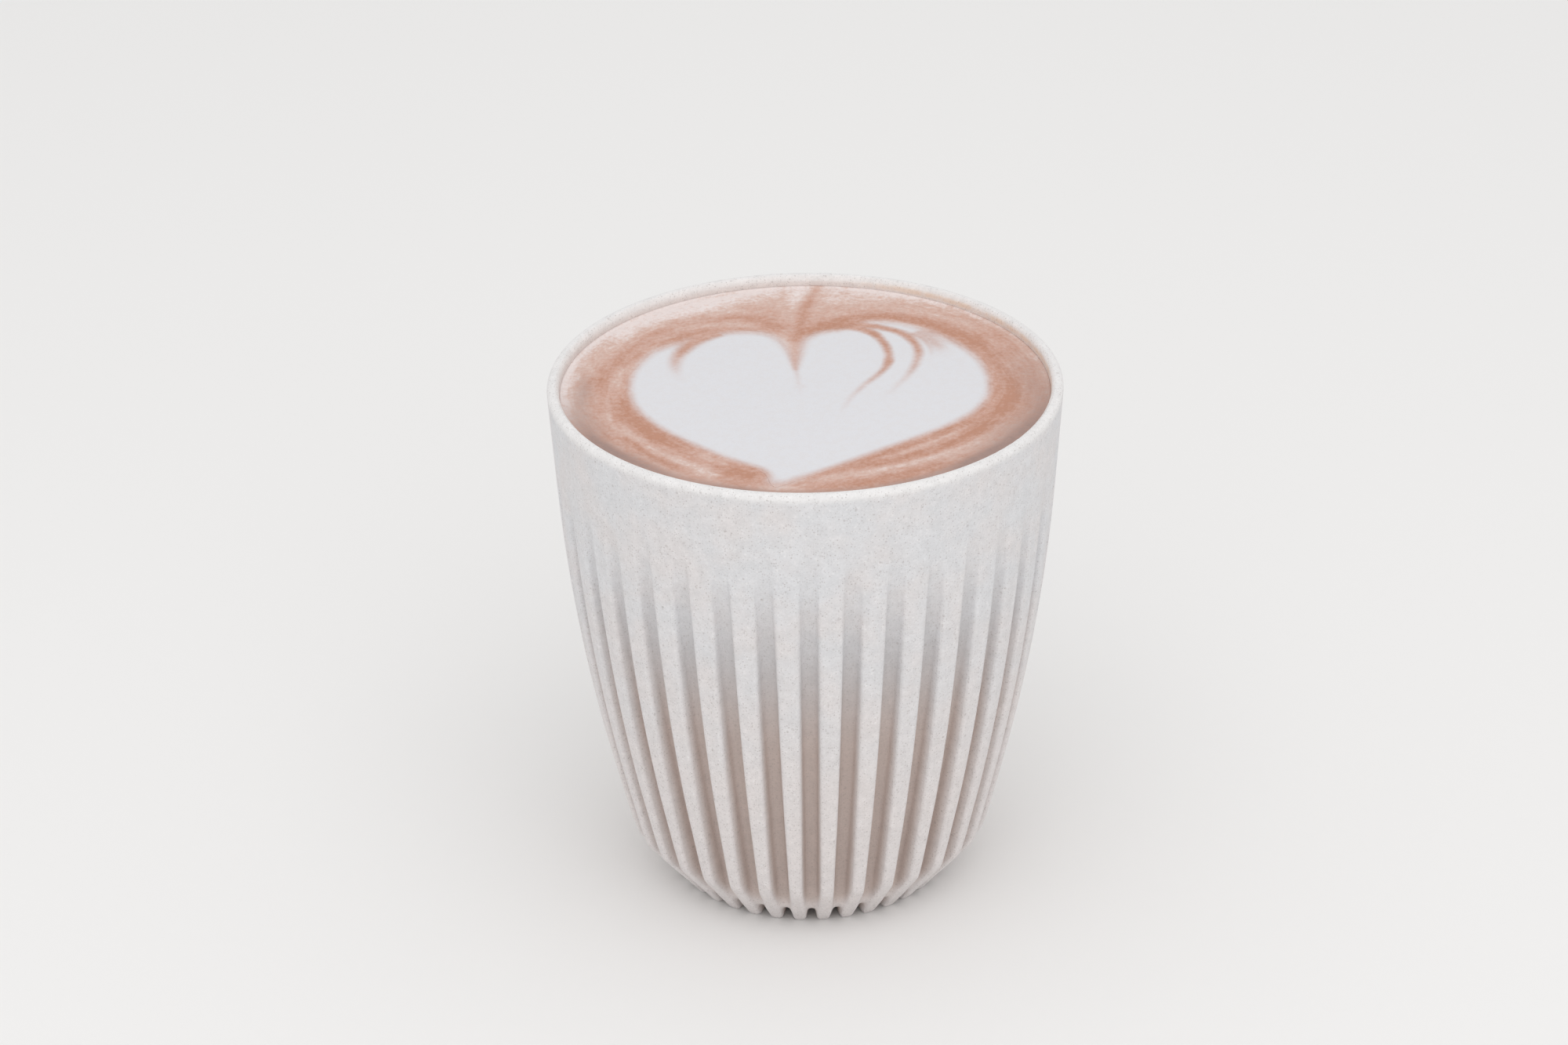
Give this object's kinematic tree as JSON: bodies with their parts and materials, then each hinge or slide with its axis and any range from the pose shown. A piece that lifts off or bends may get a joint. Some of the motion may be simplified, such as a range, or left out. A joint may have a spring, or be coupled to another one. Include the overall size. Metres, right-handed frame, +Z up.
{
  "type": "hot cocoa",
  "caption": "Hot cocoa with a milk-foam heart on top, in its handleless off-white cup with a plain band under the rim and upright fins that wrap under as feet.",
  "frame": {"origin": "centre of the ring of feet, on the surface that the cup stands on", "axes": "+Z up along the cup's axis; -Y towards the tip of the foam heart; +X to the right of someone who looks from -Y"},
  "size_m": [0.09, 0.09, 0.0957],
  "materials": {
    "cup": "matte, off-white with fine darker husk specks",
    "cocoa": "liquid with a thin brown foam on top",
    "foam": "fine milk foam"
  },
  "bodies": {
    "root": {"cup": "cup", "cocoa": "cocoa", "foam_heart": "foam"}
  },
  "joints": []
}
